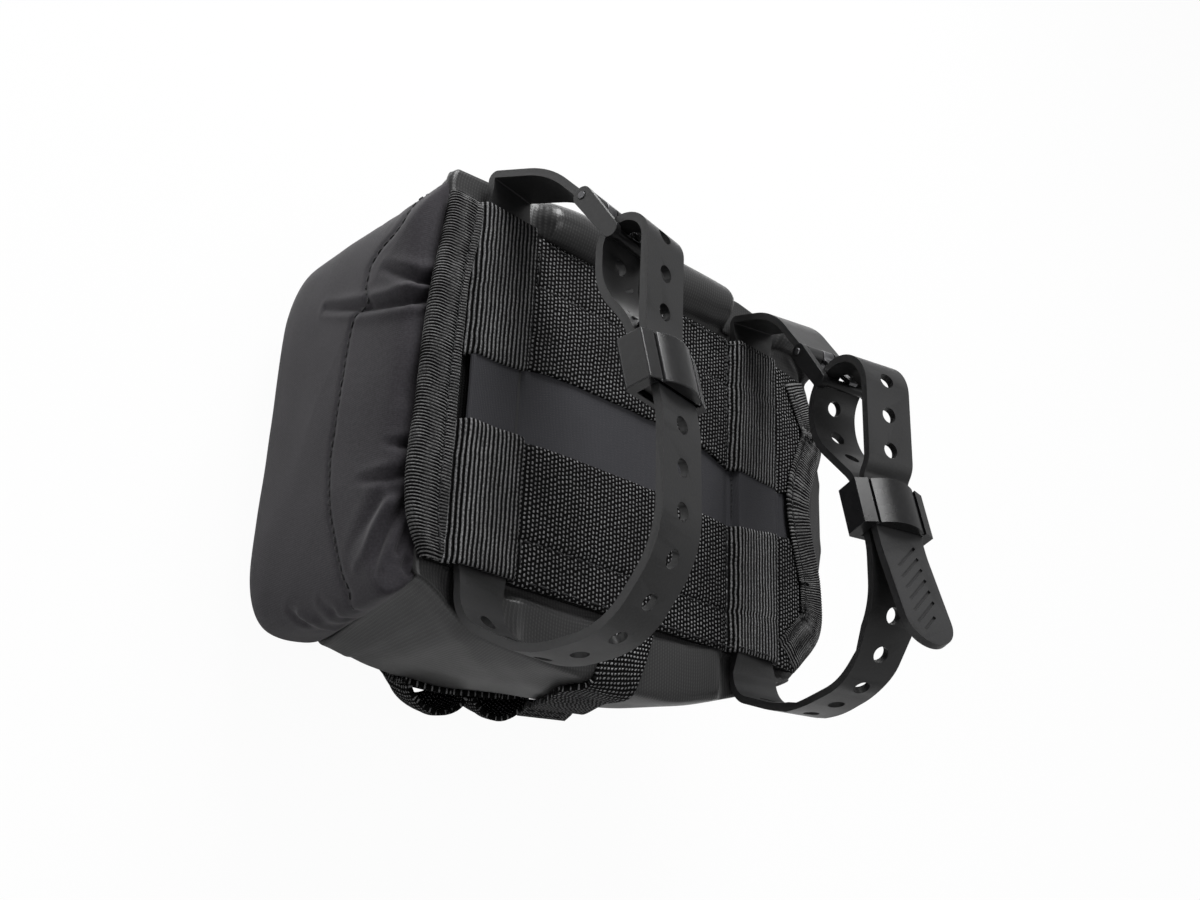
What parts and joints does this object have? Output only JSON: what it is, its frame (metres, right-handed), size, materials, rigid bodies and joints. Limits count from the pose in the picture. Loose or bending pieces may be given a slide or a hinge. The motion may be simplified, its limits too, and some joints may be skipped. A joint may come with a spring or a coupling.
{
  "type": "saddle bag",
  "caption": "Strap-on saddle bag of coated fabric with a webbing mount panel, perforated buckle straps, an elastic mouth cover and side loops.",
  "frame": {"origin": "middle of the webbing mount panel's outer face", "axes": "+X from the mouth to the closed end, +Y across the bag, +Z the mount panel's outward normal, towards the saddle rails"},
  "size_m": [0.1718, 0.1357, 0.1516],
  "materials": {
    "coated_fabric": "coated, low sheen",
    "softshell": "matt stretch weave",
    "webbing": "woven, matt",
    "tape": "smooth, low sheen",
    "elastic": "matt",
    "strap_rubber": "fine grain, low sheen",
    "keeper_rubber": "smooth, satin",
    "moulded_plastic": "satin",
    "pin_steel": "black oxide, polished by wear"
  },
  "bodies": {
    "bag": {"body_shell": "coated_fabric", "closed_end": "coated_fabric", "stiffener_plate": "moulded_plastic", "mount_backing": "webbing", "upper_band": "webbing", "lower_band": "webbing", "label_tape": "tape", "front_binding": "webbing", "rear_binding": "webbing", "side_webbing": "webbing", "loop_strip": "webbing", "loop_arches": "webbing", "front_strap": "strap_rubber", "front_buckle_frame": "moulded_plastic", "front_buckle_pin": "pin_steel", "rear_strap": "strap_rubber", "rear_buckle_frame": "moulded_plastic", "rear_buckle_pin": "pin_steel"},
    "mouth_cover": {"cover": "softshell", "cover_elastic": "elastic"},
    "front_tongue": {"front_buckle_tongue": "pin_steel"},
    "rear_tongue": {"rear_buckle_tongue": "pin_steel"},
    "front_sleeve": {"front_keeper": "keeper_rubber"},
    "rear_sleeve": {"rear_keeper": "keeper_rubber"}
  },
  "joints": [
    {"name": "cover_hinge", "type": "hinge", "parent": "bag", "child": "mouth_cover", "pos_m": [-0.0796, 0, -0.0036], "axis": [0, 1, 0], "range_deg": [0, 100]},
    {"name": "front_tongue_hinge", "type": "hinge", "parent": "bag", "child": "front_tongue", "pos_m": [-0.052, 0.0381, 0.0307], "axis": [0.9903, 0, -0.1392], "range_deg": [-1, 0]},
    {"name": "rear_tongue_hinge", "type": "hinge", "parent": "bag", "child": "rear_tongue", "pos_m": [0.034, 0.0311, 0.0325], "axis": [0.965, 0, 0.2622], "range_deg": [-1, 0]},
    {"name": "front_keeper_slide", "type": "slide", "parent": "bag", "child": "front_sleeve", "axis": [0.0326, -0.9722, 0.2319], "range_m": [-0.0015, 0.0015]},
    {"name": "rear_keeper_slide", "type": "slide", "parent": "bag", "child": "rear_sleeve", "axis": [-0.068, -0.9658, 0.2502], "range_m": [-0.0015, 0.0015]}
  ]
}
